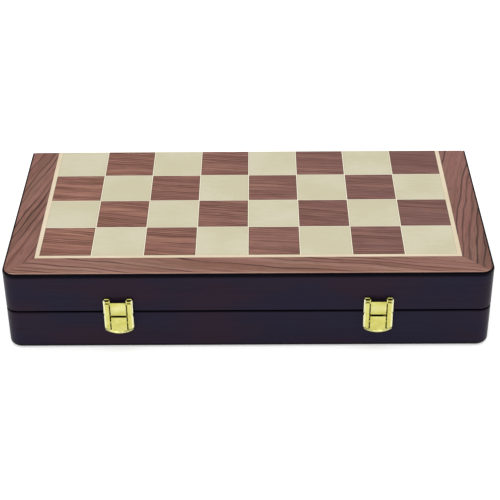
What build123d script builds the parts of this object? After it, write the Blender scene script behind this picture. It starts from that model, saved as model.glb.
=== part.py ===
"""Folding chess case: a shallow wooden box whose two outer faces are the halves of the board.

The lid turns on two brass butt hinges at the back edge until both halves lie flat side by side. Two brass
snap latches hold it shut at the front. Each half carries sixteen men in the cut-outs of a firm foam insert.
Origin at the centre of the case's underside, X along the case, +Y to the hinge edge, +Z up, millimetres.
"""

import os
from math import cos, radians, sin, sqrt, tan

from build123d import *

os.makedirs("parts", exist_ok=True)

# Case, one half is the other turned over
case_width = 300.0
case_depth = case_width / 2
half_height = 27.5
parting_gap = 0.3
wall_thickness = 9.0
front_corner_radius = 8.5
back_corner_radius = 1.5
rim_round = 1.1
lid_lip = 1.1
lid_edge_round = 1.0
base_lip = 2.9
base_edge_round = 2.8

# Board in each outer face
panel_thickness = 3.4
rabbet_width = 4.5
panel_play = 0.1
veneer_thickness = 0.6
veneer_edge_round = 0.35
files = 8
rows_per_half = 4
square_line = 0.4
stringing_width = 2.4
board_margin = 18.4
square_pitch = (case_depth - board_margin - stringing_width) / rows_per_half

# Butt hinges
hinge_from_end = 65.0
hinge_x = case_width / 2 - hinge_from_end
hinge_length = 32.0
hinge_offset = 0.3
barrel_radius = 2.0
hinge_pin_radius = 0.9
leaf_thickness = 1.2
leaf_reach = 7.2
knuckle_length = 11.0
knuckle_gap = 0.3
barrel_clearance = 0.3
screw_spacing = 21.0
screw_from_axis = 4.7
screw_head_radius = 1.9
screw_shank_radius = 0.9
screw_length = 9.0
running_clearance = 0.05
pilot_clearance = 0.03

# Snap latches, heights counted from the parting plane and depths from the front face
latch_from_end = 70.35
latch_x = case_width / 2 - latch_from_end
sheet = 0.6
latch_half_width = 8.95
ear_top = 10.3
lid_plate_bottom = 0.5
ear_cheek_x = 4.9
ear_cheek_bottom = 6.9
ear_depth = 2.9
ear_roof_depth = 1.2
plate_dip = 4.6
leaf_half_width = 4.75
leaf_top = 8.6
leaf_front = 3.2
leaf_joggle = 0.6
leaf_lip_bottom = -1.5
leaf_crown = 0.3
latch_pin_height = 8.15
latch_pin_depth = 1.9
latch_pin_radius = 0.6
flap_clearance = 0.1
flap_edge_inset = 0.2
band_top = 7.55
slot_bottom = -11.6
tongue_top = -2.35
flap_side_bottom = -11.3
flap_bottom = -14.1
thumb_lip_width = 1.5
thumb_lip_depth = 0.9
lug_radius = 1.05
lug_bottom = 5.2
base_plate_top = -1.9
base_plate_bottom = -11.6
base_flange_depth = 2.3
base_flange_bottom = -10.0
catch_height = -7.0
catch_depth = 1.45
catch_radius = 0.6
hook_half_width = 3.0
hook_reach = 1.5
hook_thickness = 1.2
hook_clearance = 0.3
nail_x = 6.7
lid_nail_height = 3.6
base_nail_height = -3.9
nail_head_radius = 1.1
nail_head_thickness = 0.5
nail_shank_radius = 0.55
nail_length = 6.5

# Foam inserts
insert_play = 0.3
insert_recess = 6.0
insert_floor = 1.5
man_clearance = 0.3
insert_end = 4.7
man_pitch = (case_width - 2 * (wall_thickness + insert_play + insert_end)) / files
wall_to_foot = 5.5

# Chessmen
foot_thickness = 2.6
foot_step = 0.9
flare_height = 7.5
stem_taper = 1.2
collar_thickness = 1.6
pawn_height = 37.0
pawn_base_radius = 9.5
pawn_neck_radius = 3.1
pawn_collar_radius = 5.3
pawn_head_radius = 5.2
rook_height = 41.0
rook_base_radius = 10.5
rook_neck_radius = 5.6
rook_head_radius = 7.4
rook_head_height = 9.0
rook_well_radius = 4.9
rook_well_depth = 3.0
rook_slot_width = 2.4
knight_height = 46.0
knight_base_radius = 10.5
knight_collar_radius = 8.2
knight_pedestal_height = 9.0
knight_cheek = 4.8
knight_chest = 6.2
knight_back = 6.6
knight_mane = 8.4
knight_muzzle = 10.2
knight_muzzle_half = 2.5
knight_crest_half = 1.7
knight_ear_notch = 3.4
bishop_height = 52.0
bishop_base_radius = 10.5
bishop_neck_radius = 3.3
bishop_collar_radius = 6.2
bishop_head_radius = 5.4
bishop_mitre_angle = 35.0
bishop_slot_width = 1.1
bishop_slot_tilt = 50.0
queen_height = 58.0
queen_base_radius = 11.0
queen_neck_radius = 3.7
queen_collar_radius = 6.8
queen_crown_radius = 6.9
queen_crown_height = 10.5
crown_notches = 8
crown_notch_radius = 1.2
king_height = 64.0
king_base_radius = 11.5
king_neck_radius = 4.0
king_collar_radius = 7.2
king_crown_radius = 6.9
king_crown_height = 11.0
cross_height = 7.5
cross_width = 6.0
cross_bar = 2.0
finial_radius = 1.7

# Derived planes and lines
front_y = -case_depth / 2
back_y = case_depth / 2
rim_z = half_height - parting_gap / 2
panel_z = veneer_thickness + panel_thickness
hinge_axis_y = back_y + hinge_offset
board_front_y = back_y - rows_per_half * square_pitch
board_side_x = files * square_pitch / 2
parting_plane = Plane.XY.offset(half_height)


def save(piece, name):
    """Labels a finished piece and writes it under that name."""
    piece.part.label = name
    export_step(piece.part, "parts/" + name + ".step")


def turned_over(piece):
    """The same piece mirrored in the parting plane, for the lid."""
    with BuildPart() as mirrored:
        mirror(piece.part, about=parting_plane)
    return mirrored


def case_plan(z, inset, back_radius):
    """Plan of a half: drawn in at the front and the sides, always reaching the hinge edge."""
    with BuildSketch(Plane.XY.offset(z)) as plan:
        with Locations((0, inset / 2)):
            Rectangle(case_width - 2 * inset, case_depth - inset)
        fillet(plan.vertices().group_by(Axis.Y)[0], front_corner_radius - inset)
        if back_radius > 0:
            fillet(plan.vertices().group_by(Axis.Y)[-1], back_radius)
    return plan.sketch


def mitre_sector(side, height, back_mitres=True):
    """Prism from the outer face up that holds one side of the case between its mitres.

    Without back mitres the left and right sectors run square up to the hinge edge.
    """
    far_x = case_width / 2
    far_y = case_depth / 2
    reach = case_depth / 2
    if side in ("front", "back"):
        s = -1 if side == "front" else 1
        corners = [
            (-far_x, s * far_y),
            (far_x, s * far_y),
            (far_x - reach, s * (far_y - reach)),
            (-far_x + reach, s * (far_y - reach)),
        ]
    else:
        s = -1 if side == "left" else 1
        corners = [(s * far_x, -far_y), (s * far_x, far_y), (s * (far_x - reach), far_y - reach)]
        if not back_mitres:
            corners.insert(2, (s * (far_x - reach), far_y))
    with BuildPart() as sector:
        with BuildSketch():
            with BuildLine():
                Polyline(*corners, close=True)
            make_face()
        extrude(amount=height)
    return sector.part


def half_ring(lip, edge_round):
    """The walls of one half as one ring, outer face down, with the seats of panel and veneers."""
    with BuildPart() as ring:
        extrude(case_plan(0, 0, 0), amount=rim_z)
        fillet(ring.edges().group_by(Axis.Z)[0].sort_by(Axis.Y)[:-1], edge_round)
        fillet(ring.edges().group_by(Axis.Z)[-1].sort_by(Axis.Y)[:-1], rim_round)
        extrude(case_plan(0, 0, back_corner_radius), amount=rim_z, mode=Mode.INTERSECT)
        extrude(case_plan(0, lip, 0), amount=veneer_thickness, mode=Mode.SUBTRACT)
        with BuildSketch(Plane.XY.offset(veneer_thickness)):
            inset = wall_thickness - rabbet_width
            Rectangle(case_width - 2 * inset, case_depth - 2 * inset)
        extrude(amount=panel_thickness, mode=Mode.SUBTRACT)
        with BuildSketch():
            Rectangle(case_width - 2 * wall_thickness, case_depth - 2 * wall_thickness)
        extrude(amount=rim_z, mode=Mode.SUBTRACT)
    return ring


def hinge_screw_places():
    """Positions of the hinge screws on one rim, seen from above."""
    places = []
    for side in (-1, 1):
        for end in (-1, 1):
            places.append((side * hinge_x + end * screw_spacing / 2, hinge_axis_y - screw_from_axis))
    return places


def cut_wall(ring, side):
    """One wall of the ring. The back wall also gets its hinge mortises, barrel notches and pilot holes."""
    with BuildPart() as wall:
        add(ring.part)
        add(mitre_sector(side, rim_z), mode=Mode.INTERSECT)
        if side == "back":
            for hx in (-hinge_x, hinge_x):
                mortise_length = hinge_length + 2 * panel_play
                leaf_back_y = hinge_axis_y - leaf_reach - panel_play
                with BuildSketch(Plane.XY.offset(rim_z)):
                    with Locations((hx, (leaf_back_y + hinge_axis_y) / 2)):
                        Rectangle(mortise_length, hinge_axis_y - leaf_back_y)
                extrude(amount=-leaf_thickness, mode=Mode.SUBTRACT)
                with BuildSketch(Plane.YZ.offset(hx - mortise_length / 2)):
                    with Locations((hinge_axis_y, half_height)):
                        Circle(barrel_radius + barrel_clearance)
                extrude(amount=mortise_length, mode=Mode.SUBTRACT)
            with BuildSketch(Plane.XY.offset(rim_z - leaf_thickness)):
                with Locations(*hinge_screw_places()):
                    Circle(screw_shank_radius + pilot_clearance)
            extrude(amount=-(screw_length - leaf_thickness), mode=Mode.SUBTRACT)
    return wall


def nail_holes(wall, height):
    """The front wall with pilot holes for the nails of both latch plates at that height."""
    with BuildPart() as holed:
        add(wall.part)
        with BuildSketch(Plane.XZ.offset(-front_y)):
            for s in (-1, 1):
                with Locations(
                    (s * latch_x - nail_x, half_height + height),
                    (s * latch_x + nail_x, half_height + height),
                ):
                    Circle(nail_shank_radius + pilot_clearance)
        extrude(amount=-nail_length, mode=Mode.SUBTRACT)
    return holed


def board_panel():
    """The thin core of the board in the rabbet of the walls."""
    inset = wall_thickness - rabbet_width + panel_play
    with BuildPart() as panel:
        with BuildSketch(Plane.XY.offset(veneer_thickness)):
            Rectangle(case_width - 2 * inset, case_depth - 2 * inset)
        extrude(amount=panel_thickness)
    return panel


def border_strip(side, lip):
    """One mitred strip of the dark border between the lip of the case and the pale stringing."""
    with BuildPart() as strip:
        extrude(case_plan(0, lip, back_corner_radius), amount=veneer_thickness)
        fillet(strip.edges().group_by(Axis.Z)[0].sort_by(Axis.Y)[:-1], veneer_edge_round)
        with BuildSketch():
            with Locations((0, (board_front_y - stringing_width + back_y) / 2)):
                Rectangle(2 * (board_side_x + stringing_width), back_y - board_front_y + stringing_width)
        extrude(amount=veneer_thickness, mode=Mode.SUBTRACT)
        add(mitre_sector(side, veneer_thickness, back_mitres=False), mode=Mode.INTERSECT)
    return strip


def square_centres(colour):
    """Centres of the squares of one colour; the front left square is dark."""
    centres = []
    for file in range(files):
        for row in range(rows_per_half):
            dark = (file + row) % 2 == 0
            if dark == (colour == "dark"):
                x = -board_side_x + (file + 0.5) * square_pitch
                y = board_front_y + (row + 0.5) * square_pitch
                centres.append((x, y))
    return centres


def stringing():
    """Pale inlay: a broad line round the board and hairlines between its squares, as one lattice."""
    with BuildPart() as lattice:
        with BuildSketch():
            with Locations((0, (board_front_y - stringing_width + back_y) / 2)):
                Rectangle(2 * (board_side_x + stringing_width), back_y - board_front_y + stringing_width)
            with Locations(*square_centres("dark"), *square_centres("light")):
                Rectangle(square_pitch - square_line, square_pitch - square_line, mode=Mode.SUBTRACT)
        extrude(amount=veneer_thickness)
    return lattice


def squares(colour):
    """The veneer squares of one colour in the windows of the lattice."""
    with BuildPart() as tiles:
        with BuildSketch():
            with Locations(*square_centres(colour)):
                Rectangle(square_pitch - square_line, square_pitch - square_line)
        extrude(amount=veneer_thickness)
    return tiles


# Walls, panels and veneers of both halves
for half, lip, edge_round, nail_height in (
    ("base", base_lip, base_edge_round, base_nail_height),
    ("lid", lid_lip, lid_edge_round, lid_nail_height),
):
    ring = half_ring(lip, edge_round)
    pieces = {}
    for side in ("front", "back", "left", "right"):
        pieces[side + "_wall"] = cut_wall(ring, side)
    pieces["board_panel"] = board_panel()
    for side in ("front", "left", "right"):
        pieces["border_" + side] = border_strip(side, lip)
    pieces["stringing"] = stringing()
    pieces["dark_squares"] = squares("dark")
    pieces["light_squares"] = squares("light")
    for name, piece in pieces.items():
        if half == "lid":
            piece = turned_over(piece)
        if name == "front_wall":
            piece = nail_holes(piece, nail_height)
        save(piece, half + "_" + name)


def hinge_leaf(hx, knuckles):
    """Leaf of a butt hinge below the parting plane; knuckles lists the ends of each of its knuckles."""
    half_length = hinge_length / 2
    with BuildPart() as leaf:
        with BuildSketch(Plane.XY.offset(rim_z)):
            with Locations((hx, hinge_axis_y - leaf_reach / 2)):
                Rectangle(hinge_length, leaf_reach)
        extrude(amount=-leaf_thickness)
        with BuildSketch(Plane.YZ.offset(hx - half_length)):
            with Locations((hinge_axis_y, half_height)):
                Circle(barrel_radius + barrel_clearance)
        extrude(amount=hinge_length, mode=Mode.SUBTRACT)
        for start, end in knuckles:
            with BuildSketch(Plane.YZ.offset(hx + start)):
                with Locations((hinge_axis_y, half_height)):
                    Circle(barrel_radius)
                with Locations((hinge_axis_y - barrel_radius, rim_z - leaf_thickness / 2)):
                    Rectangle(2 * barrel_radius, leaf_thickness)
            extrude(amount=end - start)
        with BuildSketch(Plane.YZ.offset(hx - half_length)):
            with Locations((hinge_axis_y, half_height)):
                Circle(hinge_pin_radius + running_clearance)
        extrude(amount=hinge_length, mode=Mode.SUBTRACT)
        with Locations(Plane.XY.offset(rim_z)):
            with Locations(*[place for place in hinge_screw_places() if abs(place[0] - hx) < half_length]):
                CounterSinkHole(
                    screw_shank_radius + running_clearance,
                    screw_head_radius + running_clearance,
                    depth=leaf_thickness,
                )
    return leaf


def hinge_screws():
    """The four countersunk screws in one rim, heads flush with the leaves."""
    with BuildPart() as screws:
        for x, y in hinge_screw_places():
            head_depth = screw_head_radius - screw_shank_radius
            with BuildSketch(Plane(origin=(x, y, rim_z), x_dir=(1, 0, 0), z_dir=(0, -1, 0))):
                with BuildLine():
                    Polyline(
                        (0, 0),
                        (screw_head_radius, 0),
                        (screw_shank_radius, -head_depth),
                        (screw_shank_radius, -screw_length),
                        (0, -screw_length),
                        close=True,
                    )
                make_face()
            revolve(axis=Axis((x, y, rim_z), (0, 0, 1)))
    return screws


# Hinges: the base carries the outer knuckles and the pin, the lid the middle knuckle
middle = (-knuckle_length / 2, knuckle_length / 2)
outer_knuckles = [
    (-hinge_length / 2, middle[0] - knuckle_gap),
    (middle[1] + knuckle_gap, hinge_length / 2),
]
for side, hx in (("left", -hinge_x), ("right", hinge_x)):
    save(hinge_leaf(hx, outer_knuckles), "hinge_base_leaf_" + side)
    save(turned_over(hinge_leaf(hx, [middle])), "hinge_lid_leaf_" + side)
    with BuildPart() as hinge_pin:
        with BuildSketch(Plane.YZ.offset(hx - hinge_length / 2)):
            with Locations((hinge_axis_y, half_height)):
                Circle(hinge_pin_radius)
        extrude(amount=hinge_length)
    save(hinge_pin, "hinge_pin_" + side)
save(hinge_screws(), "hinge_base_screws")
save(turned_over(hinge_screws()), "hinge_lid_screws")


def front_plane(depth):
    """Plane parallel to the front face, that depth before it: local X to the right, local Y up."""
    return Plane(origin=(0, front_y - depth, half_height), x_dir=(1, 0, 0), z_dir=(0, -1, 0))


def side_plane(x):
    """Plane across the latch at x: local X is the depth before the front face, local Y the height."""
    return Plane(origin=(x, front_y, half_height), x_dir=(0, -1, 0), z_dir=(-1, 0, 0))


def cross_bar_between(x_low, x_high, depth, height, radius, mode=Mode.ADD):
    """Round bar along X, or its bore with Mode.SUBTRACT, at that depth and height."""
    with BuildSketch(side_plane(x_high)) as section:
        with Locations((depth, height)):
            Circle(radius)
    extrude(section.sketch, amount=x_high - x_low, mode=mode)


def slab(x_low, x_high, height_low, height_high, depth_low, depth_high, mode=Mode.ADD):
    """Flat piece of sheet parallel to the front face or standing on it."""
    with BuildSketch(front_plane(depth_low)) as face:
        with Locations(((x_low + x_high) / 2, (height_low + height_high) / 2)):
            Rectangle(x_high - x_low, height_high - height_low)
    extrude(face.sketch, amount=depth_high - depth_low, mode=mode)


def nail_bores(cx, height):
    """Clearance holes for the two nails of a latch plate."""
    with BuildSketch(front_plane(0)) as holes:
        with Locations((cx - nail_x, height), (cx + nail_x, height)):
            Circle(nail_shank_radius + running_clearance)
    extrude(holes.sketch, amount=sheet, mode=Mode.SUBTRACT)


def latch_lid_plate(cx):
    """Stamped plate on the lid: side flanges, box ears for the pins and a leaf that rolls up at the front.

    Below the parting plane the leaf is joggled off the wall, so that it doesn't rub the base.
    """
    bend_radius = (leaf_front - leaf_joggle) / 2
    bend_depth = leaf_front - bend_radius
    bend_height = leaf_lip_bottom + bend_radius
    crown_height = (bend_height + leaf_top) / 2
    with BuildPart() as plate:
        slab(cx - latch_half_width, cx + latch_half_width, lid_plate_bottom, plate_dip, 0, sheet)
        for s in (-1, 1):
            outer = cx + s * latch_half_width
            flange = cx + s * (latch_half_width - sheet)
            cheek_in = cx + s * ear_cheek_x
            cheek_out = cx + s * (ear_cheek_x + sheet)
            slab(min(cheek_in, outer), max(cheek_in, outer), plate_dip, ear_top, 0, sheet)
            slab(min(flange, outer), max(flange, outer), lid_plate_bottom, ear_top, 0, ear_depth)
            slab(min(cheek_in, cheek_out), max(cheek_in, cheek_out), ear_cheek_bottom, ear_top, 0, ear_depth)
            slab(min(cheek_in, outer), max(cheek_in, outer), ear_top - sheet, ear_top, 0, ear_roof_depth)
            cross_bar_between(
                min(cheek_in, outer),
                max(cheek_in, outer),
                latch_pin_depth,
                latch_pin_height,
                latch_pin_radius,
                Mode.SUBTRACT,
            )
        with BuildSketch(side_plane(cx + leaf_half_width)) as hook:
            with BuildLine():
                Polyline((0, plate_dip), (0, lid_plate_bottom), (leaf_joggle, bend_height))
                ThreePointArc(
                    (leaf_joggle, bend_height),
                    (bend_depth, leaf_lip_bottom),
                    (leaf_front, bend_height),
                )
                ThreePointArc(
                    (leaf_front, bend_height),
                    (leaf_front + leaf_crown, crown_height),
                    (leaf_front, leaf_top),
                )
                Line((leaf_front, leaf_top), (leaf_front - sheet, leaf_top))
                ThreePointArc(
                    (leaf_front - sheet, leaf_top),
                    (leaf_front - sheet + leaf_crown, crown_height),
                    (leaf_front - sheet, bend_height),
                )
                ThreePointArc(
                    (leaf_front - sheet, bend_height),
                    (bend_depth, leaf_lip_bottom + sheet),
                    (leaf_joggle + sheet, bend_height),
                )
                Polyline(
                    (leaf_joggle + sheet, bend_height),
                    (sheet, lid_plate_bottom),
                    (sheet, plate_dip),
                    (0, plate_dip),
                )
            make_face()
        extrude(hook.sketch, amount=2 * leaf_half_width)
        nail_bores(cx, lid_nail_height)
    return plate


def latch_pins(cx):
    """The two short pins riveted through the ears."""
    with BuildPart() as pins:
        for s in (-1, 1):
            ends = (cx + s * ear_cheek_x, cx + s * latch_half_width)
            cross_bar_between(min(ends), max(ends), latch_pin_depth, latch_pin_height, latch_pin_radius)
    return pins


def latch_flap(cx):
    """Swinging flap: two bands on lugs, a sprung tongue with its hook, and a curved thumb lip."""
    half_width = latch_half_width - sheet - flap_clearance
    wide_half = latch_half_width - flap_edge_inset
    shoulder = lid_plate_bottom - hook_clearance
    lip_side_top = flap_side_bottom + thumb_lip_width
    back = leaf_front - sheet
    slot_in = leaf_half_width
    slot_out = ear_cheek_x + sheet + flap_clearance
    with BuildPart() as flap:
        with BuildSketch(front_plane(back)):
            with BuildLine():
                Polyline(
                    (cx - wide_half, flap_side_bottom),
                    (cx - wide_half, shoulder),
                    (cx - half_width, shoulder),
                    (cx - half_width, band_top),
                    (cx - slot_out, band_top),
                    (cx - slot_out, slot_bottom),
                    (cx - slot_in, slot_bottom),
                    (cx - slot_in, tongue_top),
                    (cx + slot_in, tongue_top),
                    (cx + slot_in, slot_bottom),
                    (cx + slot_out, slot_bottom),
                    (cx + slot_out, band_top),
                    (cx + half_width, band_top),
                    (cx + half_width, shoulder),
                    (cx + wide_half, shoulder),
                    (cx + wide_half, flap_side_bottom),
                )
                ThreePointArc(
                    (cx + wide_half, flap_side_bottom),
                    (cx, flap_bottom),
                    (cx - wide_half, flap_side_bottom),
                )
            make_face()
        extrude(amount=sheet)
        with BuildSketch(front_plane(leaf_front)):
            with BuildLine():
                ThreePointArc(
                    (cx + wide_half, flap_side_bottom),
                    (cx, flap_bottom),
                    (cx - wide_half, flap_side_bottom),
                )
                Line((cx - wide_half, flap_side_bottom), (cx - wide_half, lip_side_top))
                ThreePointArc(
                    (cx - wide_half, lip_side_top),
                    (cx, flap_bottom + thumb_lip_width),
                    (cx + wide_half, lip_side_top),
                )
                Line((cx + wide_half, lip_side_top), (cx + wide_half, flap_side_bottom))
            make_face()
        extrude(amount=thumb_lip_depth, taper=30)
        for s in (-1, 1):
            lug_out = cx + s * half_width
            lug_in = cx + s * (half_width - sheet)
            low_x, high_x = min(lug_in, lug_out), max(lug_in, lug_out)
            with BuildSketch(side_plane(high_x)) as lug:
                with Locations((latch_pin_depth, latch_pin_height)):
                    Circle(lug_radius)
                with BuildLine():
                    Polyline(
                        (latch_pin_depth - lug_radius, latch_pin_height),
                        (latch_pin_depth, latch_pin_height + lug_radius),
                        (back, band_top),
                        (back, lug_bottom),
                        close=True,
                    )
                make_face()
            extrude(lug.sketch, amount=high_x - low_x)
            cross_bar_between(
                low_x,
                high_x,
                latch_pin_depth,
                latch_pin_height,
                latch_pin_radius + running_clearance,
                Mode.SUBTRACT,
            )
        hook_top = catch_height - catch_radius - hook_clearance
        with BuildSketch(side_plane(cx + hook_half_width)) as hook:
            with BuildLine():
                Polyline(
                    (back, hook_top),
                    (back - hook_reach, hook_top),
                    (back - hook_reach, hook_top - hook_thickness / 2),
                    (back, hook_top - hook_thickness),
                    close=True,
                )
            make_face()
        extrude(hook.sketch, amount=2 * hook_half_width)
    return flap


def latch_base_plate(cx):
    """Stamped plate on the base: a back sheet between two side flanges that carry the catch bar."""
    with BuildPart() as plate:
        slab(cx - latch_half_width, cx + latch_half_width, base_plate_bottom, base_plate_top, 0, sheet)
        for s in (-1, 1):
            ends = (cx + s * (latch_half_width - sheet), cx + s * latch_half_width)
            slab(min(ends), max(ends), base_flange_bottom, base_plate_top, 0, base_flange_depth)
        cross_bar_between(
            cx - latch_half_width,
            cx + latch_half_width,
            catch_depth,
            catch_height,
            catch_radius,
            Mode.SUBTRACT,
        )
        nail_bores(cx, base_nail_height)
    return plate


def latch_catch_bar(cx):
    """The bar that the hook of the flap snaps under, riveted between the flanges of the base plate."""
    with BuildPart() as bar:
        ends = (cx - latch_half_width, cx + latch_half_width)
        cross_bar_between(*ends, catch_depth, catch_height, catch_radius)
    return bar


def latch_nails(height):
    """The nails of both latch plates at that height, heads on the sheet and shanks in the front wall."""
    with BuildPart() as nails:
        for s in (-1, 1):
            for n in (-1, 1):
                place = (s * latch_x + n * nail_x, height)
                with BuildSketch(front_plane(sheet)) as head:
                    with Locations(place):
                        Circle(nail_head_radius)
                extrude(head.sketch, amount=nail_head_thickness)
                with BuildSketch(front_plane(sheet)) as shank:
                    with Locations(place):
                        Circle(nail_shank_radius)
                extrude(shank.sketch, amount=-(nail_length + sheet))
    return nails


for side, cx in (("left", -latch_x), ("right", latch_x)):
    save(latch_lid_plate(cx), "latch_lid_plate_" + side)
    save(latch_pins(cx), "latch_pins_" + side)
    save(latch_flap(cx), "latch_flap_" + side)
    save(latch_base_plate(cx), "latch_base_plate_" + side)
    save(latch_catch_bar(cx), "latch_catch_bar_" + side)
save(latch_nails(lid_nail_height), "latch_lid_nails")
save(latch_nails(base_nail_height), "latch_base_nails")


def foot_and_stem(base_radius, neck_radius, collar_radius, collar_height):
    """Profile lines shared by the turned men: foot, hollow flare, slightly tapered stem, and the collar."""
    flare_start = (base_radius - foot_step, foot_thickness + foot_step)
    flare_end = (neck_radius + stem_taper, flare_start[1] + flare_height)
    flare_width = flare_start[0] - flare_end[0]
    flare_middle = (flare_end[0] + 0.3 * flare_width, flare_start[1] + 0.33 * flare_height)
    Polyline((0, 0), (base_radius, 0), (base_radius, foot_thickness), flare_start)
    ThreePointArc(flare_start, flare_middle, flare_end)
    Polyline(
        flare_end,
        (neck_radius, collar_height),
        (collar_radius, collar_height + collar_thickness / 2),
        (neck_radius, collar_height + collar_thickness),
    )


def pawn():
    """Ball-headed pawn."""
    ball_z = pawn_height - pawn_head_radius
    neck_z = ball_z - sqrt(pawn_head_radius**2 - pawn_neck_radius**2)
    collar_z = neck_z - collar_thickness
    with BuildPart() as man:
        with BuildSketch(Plane.XZ):
            with BuildLine():
                foot_and_stem(pawn_base_radius, pawn_neck_radius, pawn_collar_radius, collar_z)
                ThreePointArc((pawn_neck_radius, neck_z), (pawn_head_radius, ball_z), (0, pawn_height))
                Line((0, pawn_height), (0, 0))
            make_face()
        revolve(axis=Axis.Z)
    return man


def rook():
    """Tower with a well and four slots in its battlement."""
    head_z = rook_height - rook_head_height
    with BuildPart() as man:
        with BuildSketch(Plane.XZ):
            with BuildLine():
                foot_and_stem(rook_base_radius, rook_neck_radius, rook_head_radius, head_z - collar_thickness)
                Polyline(
                    (rook_neck_radius, head_z),
                    (rook_head_radius, head_z + collar_thickness),
                    (rook_head_radius, rook_height),
                    (rook_well_radius, rook_height),
                    (rook_well_radius, rook_height - rook_well_depth),
                    (0, rook_height - rook_well_depth),
                    (0, 0),
                )
            make_face()
        revolve(axis=Axis.Z)
        with BuildSketch(Plane.XY.offset(rook_height)):
            Rectangle(2 * rook_head_radius, rook_slot_width)
            Rectangle(rook_slot_width, 2 * rook_head_radius)
        extrude(amount=-rook_well_depth, mode=Mode.SUBTRACT)
    return man


def knight():
    """Horse's head on a low turned pedestal; the head faces local -X and its cheeks face local Y."""
    seat_z = knight_pedestal_height
    rise = knight_height - seat_z
    with BuildPart() as man:
        with BuildSketch(Plane.XZ):
            with BuildLine():
                Polyline(
                    (0, 0),
                    (knight_base_radius, 0),
                    (knight_base_radius, foot_thickness),
                    (knight_base_radius - foot_step, foot_thickness + foot_step),
                    (knight_collar_radius - foot_step, seat_z - collar_thickness),
                    (knight_collar_radius, seat_z - collar_thickness / 2),
                    (knight_collar_radius - foot_step, seat_z),
                    (0, seat_z),
                    close=True,
                )
            make_face()
        revolve(axis=Axis.Z)
        with BuildSketch(Plane.XZ):
            with BuildLine():
                mane = (knight_mane, seat_z + 0.36 * rise)
                crest = (0.86 * knight_mane, seat_z + 0.66 * rise)
                poll = (0.12 * knight_mane, seat_z + 0.91 * rise)
                ear_tip = (-0.1 * knight_muzzle, knight_height)
                brow = (-0.33 * knight_muzzle, seat_z + 0.87 * rise)
                bridge = (-0.66 * knight_muzzle, seat_z + 0.73 * rise)
                nose = (-0.97 * knight_muzzle, seat_z + 0.58 * rise)
                lip = (-knight_muzzle, seat_z + 0.52 * rise)
                chin = (-0.84 * knight_muzzle, seat_z + 0.45 * rise)
                jaw = (-0.4 * knight_muzzle, seat_z + 0.5 * rise)
                throat = (-0.22 * knight_muzzle, seat_z + 0.36 * rise)
                chest = (-1.08 * knight_chest, seat_z + 0.16 * rise)
                Line((-knight_chest, seat_z), (knight_back, seat_z))
                ThreePointArc((knight_back, seat_z), (0.97 * knight_mane, seat_z + 0.17 * rise), mane)
                ThreePointArc(mane, (0.99 * knight_mane, seat_z + 0.52 * rise), crest)
                ThreePointArc(crest, (0.56 * knight_mane, seat_z + 0.82 * rise), poll)
                Polyline(poll, ear_tip, brow)
                ThreePointArc(brow, bridge, nose)
                ThreePointArc(nose, lip, chin)
                Line(chin, jaw)
                ThreePointArc(jaw, (-0.24 * knight_muzzle, seat_z + 0.44 * rise), throat)
                ThreePointArc(throat, (-0.86 * knight_chest, seat_z + 0.27 * rise), chest)
                Line(chest, (-knight_chest, seat_z))
            make_face()
        head = extrude(amount=knight_cheek, both=True, mode=Mode.PRIVATE)
        with BuildSketch(Plane.YZ):
            with BuildLine():
                cheek = (0.84 * knight_cheek, seat_z + 0.7 * rise)
                ear_base = (0.6 * knight_cheek, seat_z + 0.88 * rise)
                ear = (0.36 * knight_cheek, knight_height)
                notch = (0, knight_height - knight_ear_notch)
                widest = (knight_cheek, seat_z + 0.42 * rise)
                foot = (0.9 * knight_cheek, seat_z)
                ThreePointArc(foot, widest, cheek)
                Polyline(
                    cheek,
                    ear_base,
                    ear,
                    notch,
                    (-ear[0], ear[1]),
                    (-ear_base[0], ear_base[1]),
                    (-cheek[0], cheek[1]),
                )
                ThreePointArc((-cheek[0], cheek[1]), (-widest[0], widest[1]), (-foot[0], foot[1]))
                Line((-foot[0], foot[1]), foot)
            make_face()
        thickness = extrude(amount=knight_base_radius, both=True, mode=Mode.PRIVATE)
        with BuildSketch(Plane.XY.offset(seat_z)):
            with BuildLine():
                front = (-knight_muzzle, knight_muzzle_half)
                temple = (-0.36 * knight_muzzle, knight_cheek)
                shoulder = (0.3 * knight_mane, knight_cheek)
                back = (knight_mane, knight_crest_half)
                for s in (-1, 1):
                    Line((front[0], s * front[1]), (temple[0], s * temple[1]))
                    Line((temple[0], s * temple[1]), (shoulder[0], s * shoulder[1]))
                    ThreePointArc(
                        (shoulder[0], s * shoulder[1]),
                        (0.75 * knight_mane, s * 0.78 * knight_cheek),
                        (back[0], s * back[1]),
                    )
                Line((front[0], -front[1]), front)
                Line((back[0], -back[1]), back)
            make_face()
        plan = extrude(amount=rise, mode=Mode.PRIVATE)
        add(head & thickness & plan)
    return man


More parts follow.
